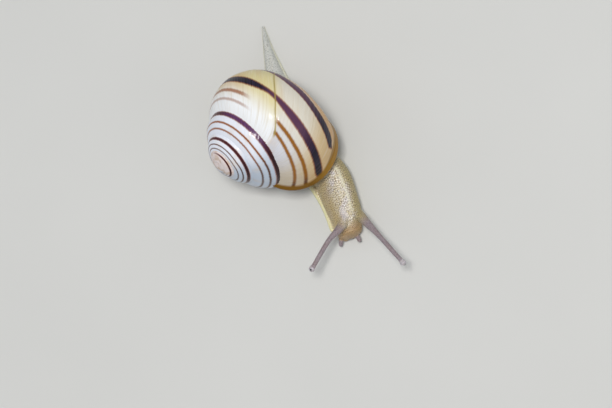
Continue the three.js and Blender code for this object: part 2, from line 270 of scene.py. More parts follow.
def rolled_sheet(name, rows):
    """A closed body: a grid sheet rolled into a tube through rows of points, its seam
    welded and both ends closed by a fan. Its rows are arrays of equally many points."""
    rows = np.asarray(rows, float)
    closed = np.concatenate([rows, rows[:, :1]], axis=1)
    count, across = closed.shape[:2]
    bpy.ops.mesh.primitive_grid_add(x_subdivisions=across - 1, y_subdivisions=count - 1, size=2)
    piece = bpy.context.object
    piece.name = name
    set_points(piece.data, closed.reshape(-1, 3))
    edit(piece)
    bpy.ops.mesh.remove_doubles(threshold=1e-5)
    bpy.ops.mesh.select_all(action="DESELECT")
    bpy.ops.mesh.select_non_manifold()
    bpy.ops.mesh.fill_holes(sides=0)
    bpy.ops.mesh.select_all(action="DESELECT")
    bpy.ops.mesh.select_mode(type="FACE")
    bpy.ops.mesh.select_face_by_sides(number=4, type="GREATER")
    bpy.ops.mesh.poke()
    bpy.ops.mesh.select_all(action="SELECT")
    bpy.ops.mesh.normals_make_consistent(inside=False)
    done()
    return piece


def keep_largest(piece):
    """Deletes loose slivers that a cut can leave."""
    edit(piece, "DESELECT")
    mesh = bmesh.from_edit_mesh(piece.data)
    mesh.verts.ensure_lookup_table()
    seen = np.zeros(len(mesh.verts), bool)
    bodies = []
    for start in mesh.verts:
        if seen[start.index]:
            continue
        seen[start.index] = True
        body, queue = [start], [start]
        while queue:
            for edge in queue.pop().link_edges:
                for vert in edge.verts:
                    if not seen[vert.index]:
                        seen[vert.index] = True
                        body.append(vert)
                        queue.append(vert)
        bodies.append(body)
    bodies.sort(key=len)
    for body in bodies[:-1]:
        for vert in body:
            vert.select = True
    bmesh.update_edit_mesh(piece.data)
    if len(bodies) > 1:
        bpy.ops.mesh.delete(type="VERT")
    done()


def place(piece):
    """Puts a finished shape in the frame: millimetres to metres, apex to its place."""
    piece.data.transform(Matrix.Scale(MM, 4) @ Matrix.Translation(APEX_PLACE))
    piece.data.update()
    return piece


def finish(piece, nodes, material):
    """Gives a piece its material, puts it on the root body, and hides the imported parts that it
    stands for.
    """
    piece.data.materials.clear()
    piece.data.materials.append(material)
    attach(piece, "root")
    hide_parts(*nodes)


# ---------- shell
def growth(age):
    return np.exp(GROWTH[0] * age + GROWTH[1] * age * age)


def line_lean(age):
    """How far a growth line runs ahead on the upper side of the section."""
    return LINE_SLANT - (LINE_SLANT - LIP_SLANT) * np.clip(1 + age / LINE_TURNS, 0, 1)


def lip_lean(age):
    return LIP_SLANT * smooth(-0.14, -0.02, age)


def to_shell_axis(points):
    """Points as seen from the shell's own axis, its apex at the origin."""
    turn = np.array(SHELL_TURN.inverted())
    return points @ turn[:3, :3].T + turn[:3, 3]


def coil(age, around, offset):
    """Points of the coiled tube, the offset outside its nominal surface."""
    age, around, offset = np.broadcast_arrays(age, around, offset)
    turn = age + line_lean(age) * np.sin(around)
    size = growth(turn - lip_lean(age) * np.sin(around))
    out = TUBE_OUT * size + (TUBE_WIDE * size + offset) * np.cos(around)
    out = np.maximum(AXIS_CLEAR, out)
    up = -TUBE_DROP * size**DROP_POWER + (TUBE_TALL * size + offset) * np.sin(around)
    angle = -2 * np.pi * turn
    local = np.stack([out * np.cos(angle), out * np.sin(angle), up], axis=-1)
    turned = np.array(SHELL_TURN)
    return local @ turned[:3, :3].T + turned[:3, 3]


def coil_place(points):
    """Where points lie on the coil, for each whorl they could be on: age, around, offset."""
    x, y, z = to_shell_axis(points).T
    out = np.hypot(x, y)
    last_turn = 1 - np.arctan2(y, x) / (2 * np.pi) % 1.0
    found = []
    for whorl in range(7):
        turn = last_turn - whorl
        age = turn
        around = np.zeros_like(turn)
        for _ in range(5):
            size = growth(turn - lip_lean(age) * np.sin(around))
            wide = (out - TUBE_OUT * size) / (TUBE_WIDE * size)
            tall = (z + TUBE_DROP * size**DROP_POWER) / (TUBE_TALL * size)
            around = np.arctan2(tall, wide)
            age = turn - line_lean(age) * np.sin(around)
        offset = (np.hypot(wide, tall) - 1) * TUBE_WIDE * size
        offset = np.where(age > LIP_SLANT, NOWHERE, offset)
        found.append(np.stack([age, around, offset]))
    return np.array(found)


def grown_length(age):
    """Millimetres that the shell's edge has grown since the first whorl."""
    ages = np.linspace(FIRST_WHORL - 0.3, 0.06, 1500)
    speed = 2 * np.pi * (TUBE_OUT + TUBE_WIDE) * growth(ages)
    lengths = np.concatenate([[0], np.cumsum((speed[1:] + speed[:-1]) / 2 * np.diff(ages))])
    return np.interp(age, ages, lengths)


def flare(age):
    return LIP_FLARE * smooth(-LIP_LENGTH, -0.006, age)


def relief(age, around):
    """The shell's surface over its nominal one: ribs, uneven growth and the lip."""
    grown = grown_length(age)
    ribs = RIB_HEIGHT * np.sin(2 * np.pi * grown / RIB_SPACING + 1.2 * np.sin(0.9 * grown))
    uneven = 0.035 * np.sin(grown / 2.3 + 1.0) * np.sin(grown / 5.9) + 0.02 * np.sin(grown / 0.97)
    rest = REST_GROOVE["deep"] * np.exp(-(((age - REST_LINE) / REST_GROOVE["wide"]) ** 2))
    edge = LIP_ROUND * smooth(-0.005, 0, age) ** 2
    return (ribs + uneven) * growth(age) - rest + flare(age) - edge


def ages_between(first, last, fineness=1.0):
    """Ages from one to the other, closer together towards the lip."""
    ages = [first]
    while ages[-1] < last - 1e-6:
        age = ages[-1]
        rows = ROWS_PER_WHORL[min(len(ROWS_PER_WHORL) - 1, max(0, math.floor(-age)))]
        near_lip = LIP_ROWS if age > -1.2 * LIP_LENGTH else rows
        ages.append(min(last, age + 1 / (near_lip * fineness)))
    if len(ages) > 2 and last - ages[-2] < 1e-4:
        del ages[-2]
    return np.array(ages)


def arounds(fineness=1.0):
    """Places round the section: close together where the shell shows, wider inside."""
    low, high = SHOWN_ARC
    shown = np.arange(low, high, SHOWN_STEP / fineness)
    hidden = np.arange(high, low + 360, HIDDEN_STEP / fineness)
    return np.radians(np.concatenate([shown, hidden]))


def tube(name, first, last, offset_at, fineness=1.0):
    """A stretch of the coil as one closed body, joined from runs under a whorl long."""
    cuts = np.linspace(first, last, max(2, math.ceil((last - first) / RUN) + 1))
    turns = arounds(fineness)
    whole = None
    for start, end in zip(cuts[:-1], cuts[1:]):
        rows = ages_between(start, end, fineness)[:, None]
        run = rolled_sheet(name, coil(rows, turns[None], offset_at(rows, turns[None])))
        whole = run if whole is None else combine(whole, run)
    return whole


def level(offset):
    return lambda age, around: offset + 0 * age


def axis_bar(radius, start, end):
    """A round bar on the shell's axis, its ends measured down from the apex."""
    down = Matrix.Translation((0, 0, -(start + end) / 2))
    bpy.ops.mesh.primitive_cylinder_add(vertices=48, radius=radius, depth=end - start)
    bar = bpy.context.object
    edit(bar, "DESELECT", "FACE")
    bpy.ops.mesh.select_face_by_sides(number=4, type="GREATER")
    bpy.ops.mesh.inset(thickness=radius * 0.4)
    bpy.ops.mesh.poke()
    done()
    bar.data.transform(SHELL_TURN @ down)
    return bar


def inner_side(clear, fineness=0.6):
    """What bounds the mouth inside: the whorl before and the pillar on the axis."""
    older = tube("older whorl", *OLDER_WHORL, level(clear), fineness)
    pillar = dict(MOUTH_PILLAR, radius=MOUTH_PILLAR["radius"] + clear)
    return combine(older, axis_bar(**pillar))


def mouth_wall(age, around):
    return -WALL + (WALL - LIP_WALL) * smooth(-0.02, 0.002, age)


def make_shell():
    shell = tube("shell", FIRST_WHORL, 0, relief)
    combine(shell, axis_bar(**PILLAR))
    mouth = tube("mouth", -MOUTH_DEPTH, 0.03, mouth_wall, 0.8)
    combine(mouth, inner_side(CALLUS), "DIFFERENCE")
    combine(shell, mouth, "DIFFERENCE")
    keep_largest(shell)
    return shell


def map_shell(shell):
    """Two maps for the pattern: age and place around, then length grown and offset."""
    mesh = shell.data
    points = read(mesh.vertices, "co", per=3)
    corners = read(mesh.loops, "vertex_index", int)
    starts = read(mesh.polygons, "loop_start", int)
    sizes = read(mesh.polygons, "loop_total", int)
    middles = np.add.reduceat(points[corners], starts) / sizes[:, None]
    found = coil_place(middles)
    whorl = np.argmin(np.abs(found[:, 2] - relief(found[:, 0], found[:, 1])), axis=0)
    middle = found[whorl, :, np.arange(len(sizes))]
    middle = np.repeat(middle, sizes, axis=0)
    found = coil_place(points)[:, :, corners]
    # A corner across the line where whole turns are counted belongs to the next whorl.
    whorl = np.argmin(np.abs(found[:, 0] - middle[:, 0]), axis=0)
    age, around, offset = found[whorl, :, np.arange(len(corners))].T
    around = around + 2 * np.pi * np.round((middle[:, 1] - around) / (2 * np.pi))
    offset = np.where(offset > NOWHERE / 2, middle[:, 2], offset)
    for name, pair in (("coil", (age, around)), ("growth", (grown_length(age), offset))):
        layer = mesh.uv_layers.get(name) or mesh.uv_layers.new(name=name)
        layer.data.foreach_set("uv", np.stack(pair, axis=-1).astype(np.float32).ravel())


# ---------- skin
def eased(table, places):
    """A table's values at places between its rows, eased so that outlines stay round."""
    table = np.asarray(table, float)
    places = np.asarray(places, float)
    row = np.minimum(len(table) - 2, places.astype(int))
    part = (places - row).reshape((-1,) + (1,) * (table.ndim - 1))
    before, start, end, after = (table[np.clip(row + i, 0, len(table) - 1)] for i in (-1, 0, 1, 2))
    leave, arrive = (end - before) / 2, (after - start) / 2
    sag = 3 * (end - start) - 2 * leave - arrive
    bend = 2 * (start - end) + leave + arrive
    return start + part * (leave + part * (sag + part * bend))


def at_y(table, y):
    """A table's values at places given by y, which falls from the tail to the head."""
    table = np.asarray(table, float)
    y = np.clip(y, table[-1, 0], table[0, 0])
    return [np.interp(-y, -table[:, 0], table[:, column]) for column in range(1, table.shape[1])]


def body_rows(table, section, nose):
    """Sections along a table, closed at the front by a rounded nose."""
    rows = [section(row, 1, 0) for row in eased(table, np.linspace(0, len(table) - 1, BODY_ROWS))]
    for turn in np.radians(np.linspace(8, 88, 11)):
        rows.append(section(table[-1], math.cos(turn), nose * math.sin(turn)))
    return rows


def foot_section(row, shrink, ahead):
    """A flat sole, a rounded margin and a low flat top."""
    y, x, half, margin = row
    wide = half * shrink
    soft = min(0.3, wide * 0.4)
    high = margin * (0.45 + 0.55 * shrink)
    turns = np.radians(np.linspace(-90, 90, MARGIN_STEPS))
    edge_x = wide - soft + soft * np.cos(turns)
    edge_z = high * (0.5 + 0.5 * np.sin(turns))
    edge_y = np.full(MARGIN_STEPS, y - ahead)
    left = np.stack([x + edge_x, edge_y, edge_z], axis=-1)
    right = np.stack([x - edge_x, edge_y, edge_z], axis=-1)
    return np.concatenate([left, right[::-1]])


def back_section(row, shrink, ahead):
    """An arch whose ridge leans to the left on the neck."""
    y, x, half, height, lean = row
    turns = full_turn(ARCH_SIDES)
    c, s = np.cos(turns), np.sin(turns)
    waist = height * BACK_WAIST
    z = waist + shrink * np.where(s > 0, height - waist, waist - BACK_BASE) * s
    wide = half * shrink * np.sign(c) * np.abs(c) ** np.where(s > 0, 0.92, 0.6)
    return np.stack([x + wide + lean * (z - BACK_BASE), np.full(ARCH_SIDES, y - ahead), z], axis=-1)


def mouth_ring(age):
    """A ring of points inside the shell's mouth, where the stalk fills it."""
    turns = full_turn(RING)
    inset = (STALK_SHARE - 1) * TUBE_WIDE * growth(np.array(age))
    return coil(np.array(age), turns, inset - WALL)


def stalk_rows():
    """The flesh that goes up from the foot into the shell's mouth."""
    turns = full_turn(RING)

    def oval(x, y, z, long, wide):
        return np.stack([x - wide * np.sin(turns), y - long * np.cos(turns), z + 0 * turns], -1)

    rows = [mouth_ring(age) for age in STALK_AGES]
    upper, root = rows[-1], oval(**STALK_ROOT)
    rows += [upper + (root - upper) * share for share in (0.25, 0.5, 0.75)]
    rows += [root, oval(**STALK_SINK)]
    return eased(rows, np.linspace(0, len(rows) - 1, 50))


def shell_room(clear):
    """What the flesh keeps out of: the last whorls with a little room, less the mouth."""
    room = tube("room", -1.5, 0.004, lambda age, around: clear + flare(age), COARSE)
    mouth = tube("way in", -MOUTH_DEPTH, 0.04, level(-WALL - clear), COARSE)
    combine(mouth, inner_side(clear, COARSE), "DIFFERENCE")
    return combine(room, mouth, "DIFFERENCE")


def ball(name, radius, centre, stretch=(1, 1, 1)):
    """A round lump, drawn out along the axes."""
    bpy.ops.mesh.primitive_uv_sphere_add(segments=32, ring_count=16, radius=radius, location=centre)
    lump = bpy.context.object
    lump.name = name
    edit(lump)
    bpy.ops.transform.resize(value=stretch, center_override=Vector(centre))
    done()
    only(lump)
    bpy.ops.object.transform_apply(location=True, rotation=True, scale=True)
    return lump


def smooth_path(points):
    """A smooth curve through given points, evenly stepped."""
    fine = eased(points, np.linspace(0, len(points) - 1, 400))
    steps = np.linalg.norm(np.diff(fine, axis=0), axis=1)
    length = np.concatenate([[0], np.cumsum(steps)])
    places = np.linspace(0, length[-1], FEELER_ROWS)
    path = np.stack([np.interp(places, length, fine[:, k]) for k in range(3)], axis=-1)
    return path, length[-1]


def feeler_rows(points, radius_at):
    """Round sections along a feeler, their radius given by the way from root and tip."""
    path, length = smooth_path(points)
    turns = full_turn(FEELER_SIDES)
    heading = np.gradient(path, axis=0)
    heading /= np.linalg.norm(heading, axis=1, keepdims=True)
    side = np.cross(heading, (0, 0, 1))
    side /= np.linalg.norm(side, axis=1, keepdims=True)
    over = np.cross(side, heading)
    share = np.linspace(0, 1, len(path))
    radius = radius_at(share, length * (1 - share))
    spokes = np.cos(turns)[:, None] * side[:, None] + np.sin(turns)[:, None] * over[:, None]
    return path[:, None] + radius[:, None, None] * spokes


def upper_radius(share, from_tip):
    root, thin, bulb = (UPPER_THICK[key] for key in ("root", "thin", "bulb"))
    from_bulb = from_tip - bulb
    taper = 0.8 * (1 - smooth(0, 0.55, share)) + 0.2 * (1 - share)
    stalk = thin + (root - thin) * taper
    swell = np.exp(-((from_bulb / BULB_SWELL) ** 2))
    tip = np.sqrt(np.maximum(0.0004, bulb**2 - from_bulb**2))
    return np.where(from_bulb < 0, tip, stalk + (bulb - stalk) * swell)


def lower_radius(share, from_tip):
    radius = LOWER_THICK["root"] + (LOWER_THICK["tip"] - LOWER_THICK["root"]) * share
    short = np.maximum(0, 1 - from_tip / radius)
    return radius * np.sqrt(np.maximum(0.01, 1 - short**2))


def make_flesh():
    """The whole soft body in one closed piece, still smooth."""
    flesh = rolled_sheet("skin", body_rows(BACK, back_section, BACK_NOSE))
    combine(flesh, rolled_sheet("foot", body_rows(FOOT, foot_section, FOOT_NOSE)))
    combine(flesh, rolled_sheet("stalk", stalk_rows()))
    for side in (-1, 1):
        centre = (MOUTH_LIP["x"] + side * MOUTH_LIP["apart"], MOUTH_LIP["y"], MOUTH_LIP["z"])
        lip = ball("lip", MOUTH_LIP["radius"], centre, (0.85, 0.9, 0.75))
        combine(flesh, lip)
    combine(flesh, shell_room(FLESH_ROOM), "DIFFERENCE")
    collar = tube("collar", *COLLAR, level(-WALL - COLLAR_GAP), COARSE)
    pore_at = coil(np.array(COLLAR[1]), np.radians(PORE["angle"]), -PORE["deep"])
    combine(collar, ball("pore", PORE["radius"], pore_at, (1, 1, 1.2)), "DIFFERENCE")
    combine(collar, inner_side(COLLAR_CLEAR, COARSE), "DIFFERENCE")
    combine(flesh, collar)
    for feelers, radius_at in ((UPPER_FEELERS, upper_radius), (LOWER_FEELERS, lower_radius)):
        for points in feelers.values():
            combine(flesh, rolled_sheet("feeler", feeler_rows(points, radius_at)))
    keep_largest(flesh)
    return flesh


def feeler_share(points, feelers, radius_at):
    """How far each point lies along one of a pair of feelers, or nought off them."""
    share = np.zeros(len(points))
    for hand_set in feelers.values():
        path, length = smooth_path(hand_set)
        along = np.linspace(0, 1, len(path))
        radius = radius_at(along, length * (1 - along))
        gaps = np.linalg.norm(points[:, None] - path[None, ::2], axis=2)
        nearest = np.argmin(gaps, axis=1)
        on = 1 - smooth(1.15, 1.6, gaps.min(axis=1) / np.maximum(radius[::2][nearest], 0.3))
        share = np.maximum(share, on * along[::2][nearest])
    return share


def regions(points):
    """Named parts of the skin, each as a share from 0 to 1 at every point."""
    x, y, z = points.T
    back_x, back_half, back_height, lean = at_y(BACK, y)
    foot_x, foot_half, margin = at_y(FOOT, y)
    across = (x - back_x - lean * (z - BACK_BASE)) / back_half
    along = feeler_share(points, UPPER_FEELERS, upper_radius)
    lower = feeler_share(points, LOWER_FEELERS, lower_radius)
    beside = smooth(0.7, 0.86, np.abs(x - foot_x) / foot_half)
    fringe = beside * (1 - smooth(0.95, 1.2, z / margin))
    root_gap = np.linalg.norm((points - ROOT_TINT) / (0.8, 1.6, 1.6), axis=1)
    upper = smooth(0.45, 0.7, z / back_height) * (1 - smooth(0.02, 0.08, along))
    on_neck = smooth(-3.5, -5.0, y) * (1 - smooth(-13.2, -14.6, y))
    cleft = x - MOUTH_X
    arch = z - (MOUTH_TOP - 0.7 * cleft**2)
    mouth = np.exp(-((arch / 0.09) ** 2)) * (1 - smooth(0.55, 0.75, np.abs(cleft)))
    slit = np.exp(-((cleft / 0.08) ** 2)) * smooth(0.3, 0.45, z) * (1 - smooth(0.0, 0.1, arch))
    return {
        "mouth": np.maximum(mouth, slit) * (1 - smooth(-16.9, -16.6, y)),
        "feeler": np.maximum(smooth(0.12, 0.32, along), smooth(0.45, 0.65, lower)),
        "root": 1 - smooth(0.3, 1.1, root_gap),
        "bulb": smooth(0.9, 0.96, along),
        "fringe": fringe,
        "pale_line": (1 - smooth(0.02, 0.13, np.abs(across - LINE_ACROSS))) * upper * on_neck,
        "face": smooth(-14.6, -16.6, y) * (1 - smooth(0.05, 0.15, along)),
        "tail": smooth(7.0, 12.0, y),
        "across": np.clip(across, -1.5, 1.5),
    }


def scatter(points, spacing):
    """Seeds picked among the points, none nearer to another than the spacing there."""
    order = list(range(len(points)))
    random.Random(SEED).shuffle(order)
    cell = float(spacing.max())
    keys = np.floor(points / cell).astype(int).tolist()
    places = points.tolist()
    limits = (spacing**2).tolist()
    taken = {}
    seeds = []
    steps = [(i, j, k) for i in (-1, 0, 1) for j in (-1, 0, 1) for k in (-1, 0, 1)]
    for index in order:
        a, b, c = keys[index]
        x, y, z = places[index]
        limit = limits[index]
        near = (q for i, j, k in steps for q in taken.get((a + i, b + j, c + k), ()))
        if all((x - q[0]) ** 2 + (y - q[1]) ** 2 + (z - q[2]) ** 2 >= limit for q in near):
            taken.setdefault((a, b, c), []).append((x, y, z))
            seeds.append(index)
    return seeds


def tubercles(points, face):
    """Height of the skin's tubercles at each point, and a shade for each tubercle."""
    behind = smooth(BEHIND_NECK - 1, BEHIND_NECK + 0.5, points[:, 1])
    spacing = TUBERCLE * (1 - 0.15 * face) * (1 + 0.3 * behind)
    squeezed = points / np.array((1, TUBERCLE_LONG, 1))
    seeds = scatter(squeezed, spacing)
    tree = kdtree.KDTree(len(seeds))
    for number, index in enumerate(seeds):
        tree.insert(squeezed[index], number)
    tree.balance()
    shades = np.random.default_rng(SEED).random(len(seeds))
    first, second = np.empty(len(points)), np.empty(len(points))
    shade = np.empty(len(points))
    for i, point in enumerate(squeezed):
        (_, number, first[i]), (_, _, second[i]) = tree.find_n(point, 2)
        shade[i] = shades[number]
    edge = smooth(0.0, 0.55, (second - first) / spacing)
    dome = np.clip(1 - (first / spacing / 0.95) ** 2, 0, 1)
    return edge * (0.25 + 0.75 * dome), shade


def make_skin():
    """The soft body's skin, with its tubercles, and where each of its colours goes."""
    skin = make_flesh()
    apply_modifier(skin, "REMESH", mode="VOXEL", voxel_size=SKIN_VOXEL)
    thin_out(skin)
    apply_modifier(skin, "SMOOTH", factor=0.5, iterations=3)
    mesh = skin.data
    points = read(mesh.vertices, "co", per=3)
    part = regions(points)
    bare = (1 - smooth(0.2, 0.45, points[:, 2])) + part["fringe"] + smooth(9.0, 11.0, points[:, 1])
    bare += 0.2 * part["face"] + part["feeler"] + in_shell(points)
    beaded = np.flatnonzero(bare < 1)
    height, shade = np.zeros(len(points)), np.zeros(len(points))
    height[beaded], shade[beaded] = tubercles(points[beaded], part["face"][beaded])
    normals = read(mesh.vertex_normals, "vector", per=3)
    rise = TUBERCLE_HEIGHT * np.clip(1 - bare, 0, 1) * (height - 0.6) - MOUTH_DEEP * part["mouth"]
    moved = points + normals * rise[:, None]
    moved[:, 2] = np.maximum(moved[:, 2], 0)
    set_points(mesh, moved)
    for name, values in {**part, "tubercle": height, "shade": shade}.items():
        layer = mesh.attributes.new(name=name, type="FLOAT", domain="POINT")
        layer.data.foreach_set("value", values.astype(np.float32))
    return skin


def in_shell(points):
    """Which points lie inside the last whorl, behind its mouth."""
    age, _, offset = coil_place(points)[0]
    return (age < -0.01) & (age > -0.25) & (offset < -0.3)


def thin_out(skin):
    """Fewer faces on the sole and in the shell, and on all that needs no fine tubercles."""
    for share in (HIDDEN_SHARE, PLAIN_SHARE):
        edit(skin, "DESELECT", "FACE")
        mesh = bmesh.from_edit_mesh(skin.data)
        middles = np.array([face.calc_center_median() for face in mesh.faces])
        y, z = middles[:, 1], middles[:, 2]
        chosen = in_shell(middles) | (z < SOLE_TOP)
        chosen |= (z > IN_MOUTH["above"]) & (y > IN_MOUTH["behind"])
        if share == PLAIN_SHARE:
            chosen = ~chosen & ((y > PLAIN_TAIL) | (y < PLAIN_FRONT))
        for face, picked in zip(mesh.faces, chosen):
            face.select = bool(picked)
        bmesh.update_edit_mesh(skin.data)
        bpy.ops.mesh.decimate(ratio=share)
        done()


# ---------- eyes
def make_eye(node, look):
    """A dark bead let into its bulb, with a narrower back inside it."""
    low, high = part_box(node)
    centre = (low + high) / 2 / MM - APEX_PLACE
    look = Vector(look).normalized()
    bpy.ops.mesh.primitive_ico_sphere_add(subdivisions=4, radius=EYE_RADIUS, location=centre)
    eye = bpy.context.object
    eye.name = node.replace("eye", "eye_bead")
    only(eye)
    bpy.ops.object.transform_apply(location=True, rotation=True, scale=True)
    edit(eye, "DESELECT", "FACE")
    mesh = bmesh.from_edit_mesh(eye.data)
    for face in mesh.faces:
        face.select = face.normal.dot(look) < EYE_BACK["from_side"]
    bmesh.update_edit_mesh(eye.data)
    deeper, narrower = look * -EYE_BACK["deeper"], [EYE_BACK["narrower"]] * 3
    bpy.ops.mesh.extrude_region_move(TRANSFORM_OT_translate={"value": deeper})
    bpy.ops.transform.resize(value=narrower, center_override=centre - look * EYE_RADIUS)
    bpy.ops.mesh.select_all(action="SELECT")
    bpy.ops.mesh.normals_make_consistent(inside=False)
    done()
    bpy.ops.object.shade_smooth()
    return eye


# ---------- materials
# Colours as a paint chart gives them, 0 to 255. Ages and places around are the shell's.
SHELL_COLOURS = {
    "cream": (212, 184, 128),
    "yellow": (216, 204, 152),
    "pale cream": (216, 210, 196),
    "tan cream": (206, 180, 136),
    "tan": (204, 172, 124),
    "white": (236, 238, 240),
    "new white": (208, 209, 216),
    "sand": (196, 180, 152),
    "bluish white": (224, 228, 238),
    "painted shade, blue": (164, 180, 198),
    "dull streak": (198, 182, 148),
    "bright streak": (244, 241, 236),
    "stain": (210, 180, 138),
    "tan band": (150, 92, 52),
    "tan band, new": (142, 88, 10),
    "tan band, older": (142, 76, 8),
    "tan band, early": (92, 44, 10),
    "tan band, last": (84, 42, 12),
    "tan band, painted shade": (58, 34, 12),
    "worn": (220, 208, 206),
    "worn spots": (198, 174, 152),
    "base": (206, 160, 102),
    "rust": (138, 66, 34),
    "dark": (26, 21, 30),
    "dark, streaks": (70, 56, 92),
    "dark, new": (98, 60, 88),
    "dark, older": (74, 24, 28),
    "dark, painted shade": (34, 22, 26),
    "dark, painted sheen": (98, 62, 108),
    "rest line": (160, 140, 72),
    "lip": (154, 112, 30),
    "lip above": (118, 82, 18),
    "lip streak": (100, 70, 14),
    "inside": (206, 186, 158),
}
SKIN_COLOURS = {
    "groove": (104, 90, 68),
    "groove, left": (84, 68, 38),
    "groove, right, ochre and shadow": (106, 84, 42),
    "groove, tail": (158, 160, 154),
    "groove, face": (98, 68, 34),
    "groove, feeler": (116, 102, 107),
    "crest": (213, 204, 186),
    "crest, darker": (190, 173, 132),
    "crest, lilac": (204, 198, 206),
    "crest, left": (164, 149, 96),
    "crest, right, ochre and shadow": (182, 159, 104),
    "crest, tail": (198, 200, 194),
    "crest, face": (174, 140, 90),
    "crest, feeler": (141, 127, 131),
    "root tint and highlight": (204, 197, 206),
    "mouth": (82, 58, 44),
    "pale grains": (190, 180, 186),
    "brown spots": (134, 108, 102),
    "pale line": (222, 220, 192),
    "fringe": (226, 222, 176),
    "bulb": (196, 191, 195),
}
EYE_COLOURS = {"black": (22, 21, 30), "clouded": (50, 46, 62)}
FLOOR_COLOURS = {"darker": (198, 198, 195), "lighter": (204, 204, 201)}
OLDER = (-0.95, -0.7)  # ages over which the look of the older whorls ends
WORN = (-3.12, -2.95)  # ages over which the worn first whorls end
UNDERSIDE = 1.32  # puts the shaded stretch of each older whorl at the model's lower side


def srgb(red, green, blue):
    """A colour as a paint chart gives it, as light."""
    def light(value):
        value /= 255
        return value / 12.92 if value <= 0.04045 else ((value + 0.055) / 1.055) ** 2.4

    return (light(red), light(green), light(blue), 1.0)


class Value:
    """A socket in a material's nodes that takes Python's operators."""

    def __init__(self, paint, socket):
        self.paint, self.socket = paint, socket

    def __add__(self, other):
        return self.paint.math("ADD", self, other)

    def __sub__(self, other):
        return self.paint.math("SUBTRACT", self, other)

    def __rsub__(self, other):
        return self.paint.math("SUBTRACT", other, self)

    def __mul__(self, other):
        return self.paint.math("MULTIPLY", self, other)

    def __abs__(self):
        return self.paint.math("ABSOLUTE", self)

    __radd__ = __add__
    __rmul__ = __mul__


class Paint:
    """A material under construction, ending in one Principled shader."""

    def __init__(self, name, colours):
        self.material = bpy.data.materials.new(name)
        self.material.use_nodes = True
        self.tree = self.material.node_tree
        self.tree.nodes.clear()
        self.colours = {name: srgb(*colour) for name, colour in colours.items()}

    def add(self, kind, settings=None, sockets=None, output=0):
        """Adds a node: its settings, then its sockets' values or links. Gives an output."""
        node = self.tree.nodes.new(kind)
        for name, value in (settings or {}).items():
            setattr(node, name, value)
        for name, value in (sockets or {}).items():
            if isinstance(value, Value):
                self.tree.links.new(value.socket, node.inputs[name])
            else:
                node.inputs[name].default_value = value
        return Value(self, node.outputs[output]) if node.outputs else None

    def math(self, operation, *values):
        return self.add("ShaderNodeMath", {"operation": operation}, dict(enumerate(values)))

    def sine(self, value):
        return self.math("SINE", value)

    def exp(self, value):
        return self.math("EXPONENT", value)

    def above(self, value, low, high):
        """0 below low, 1 above high, and smooth between."""
        sockets = {"Value": value, "From Min": low, "From Max": high}
        return self.add("ShaderNodeMapRange", {"interpolation_type": "SMOOTHSTEP"}, sockets)

    def below(self, value, low, high):
        return 1 - self.above(value, low, high)

    def lay(self, ground, *layers):
        """Colours laid over a ground in turn. Each layer is a colour, by name or mixed
        before, and its share, from 0 to 1."""
        ground = self.colours.get(ground) if isinstance(ground, str) else ground
        for colour, share in layers:
            colour = self.colours.get(colour) if isinstance(colour, str) else colour
            sockets = {0: share, 6: ground, 7: colour}
            ground = self.add("ShaderNodeMix", {"data_type": "RGBA"}, sockets, 2)
        return ground

    def vector(self, x, y, z=0.0):
        return self.add("ShaderNodeCombineXYZ", None, {"X": x, "Y": y, "Z": z})

    def parts(self, vector):
        node = self.add("ShaderNodeSeparateXYZ", None, {"Vector": vector}).socket.node
        return [Value(self, socket) for socket in node.outputs]

    def place(self):
        """The place in the object, in metres."""
        return self.add("ShaderNodeTexCoord", output=3)

    def noise(self, vector, scale, detail=2.0):
        sockets = {"Vector": vector, "Scale": scale, "Detail": detail, "Roughness": 0.5}
        return self.add("ShaderNodeTexNoise", None, sockets)

    def speck(self, vector, scale):
        """Distance to the nearest of scattered points."""
        return self.add("ShaderNodeTexVoronoi", None, {"Vector": vector, "Scale": scale})

    def attribute(self, name):
        return self.add("ShaderNodeAttribute", {"attribute_name": name}, output=2)

    def bump(self, height, depth):
        sockets = {"Height": height, "Distance": depth, "Strength": 1.0}
        return self.add("ShaderNodeBump", None, sockets)

    def finish(self, **sockets):
        """Sockets are named in lower case, with underscores for spaces."""
        named = {name.replace("_", " ").title(): value for name, value in sockets.items()}
        named = {name.replace("Ior", "IOR"): value for name, value in named.items()}
        shader = self.add("ShaderNodeBsdfPrincipled", None, named)
        self.add("ShaderNodeOutputMaterial", None, {"Surface": shader})
        return self.material


